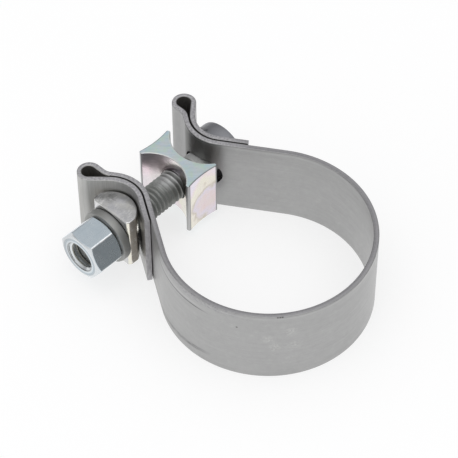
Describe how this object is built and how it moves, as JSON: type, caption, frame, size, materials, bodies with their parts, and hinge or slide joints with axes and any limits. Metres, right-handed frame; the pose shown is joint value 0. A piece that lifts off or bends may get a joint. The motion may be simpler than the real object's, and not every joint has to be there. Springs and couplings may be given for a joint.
{
  "type": "exhaust band clamp",
  "caption": "Flat steel band bent into an open ring whose folded lugs are drawn together by a bolt, with a half-moon saddle, washer, hexagon nut and a hollowed reaction block between the lugs.",
  "frame": {"origin": "centre of the pipe bore, on the band's lower edge", "axes": "+Z along the pipe, +Y from the bore towards the bolt, +X along the bolt towards its head"},
  "size_m": [0.0806, 0.1048, 0.0318],
  "materials": {
    "band_steel": "satin cold-rolled stainless strip, cut edges bare",
    "block_steel": "zinc plate with iridescent clear passivation",
    "bolt_steel": "cold-headed, zinc plated and dulled",
    "saddle_steel": "zinc plated over a rough cut, with olive tints",
    "washer_steel": "zinc plated, tumbled",
    "nut_steel": "bright blue-white zinc plate"
  },
  "bodies": {
    "clamp": {"band": "band_steel", "bolt": "bolt_steel"},
    "block": {"reaction_block": "block_steel"},
    "saddle": {"saddle": "saddle_steel"},
    "washer": {"washer": "washer_steel"},
    "nut": {"hex_nut": "nut_steel"}
  },
  "joints": [
    {"name": "block_slide", "type": "slide", "parent": "clamp", "child": "block", "axis": [1, 0, 0], "range_m": [-0.016, 0.0056]},
    {"name": "nut_travel", "type": "slide", "parent": "clamp", "child": "washer", "axis": [-1, 0, 0], "range_m": [0, 0.0059]},
    {"name": "nut_spin", "type": "hinge", "parent": "washer", "child": "nut", "pos_m": [-0.0315, 0.0478, 0.01588], "axis": [-1, 0, 0], "range_deg": [0, 1170]},
    {"name": "saddle_slide", "type": "slide", "parent": "clamp", "child": "saddle", "axis": [-1, 0, 0], "range_m": [0, 0.00295]}
  ],
  "couplings": [
    {"joint": "nut_travel", "follows": "nut_spin", "m_per_rad": 0.00028871},
    {"joint": "saddle_slide", "follows": "nut_spin", "m_per_rad": 0.00014435}
  ]
}
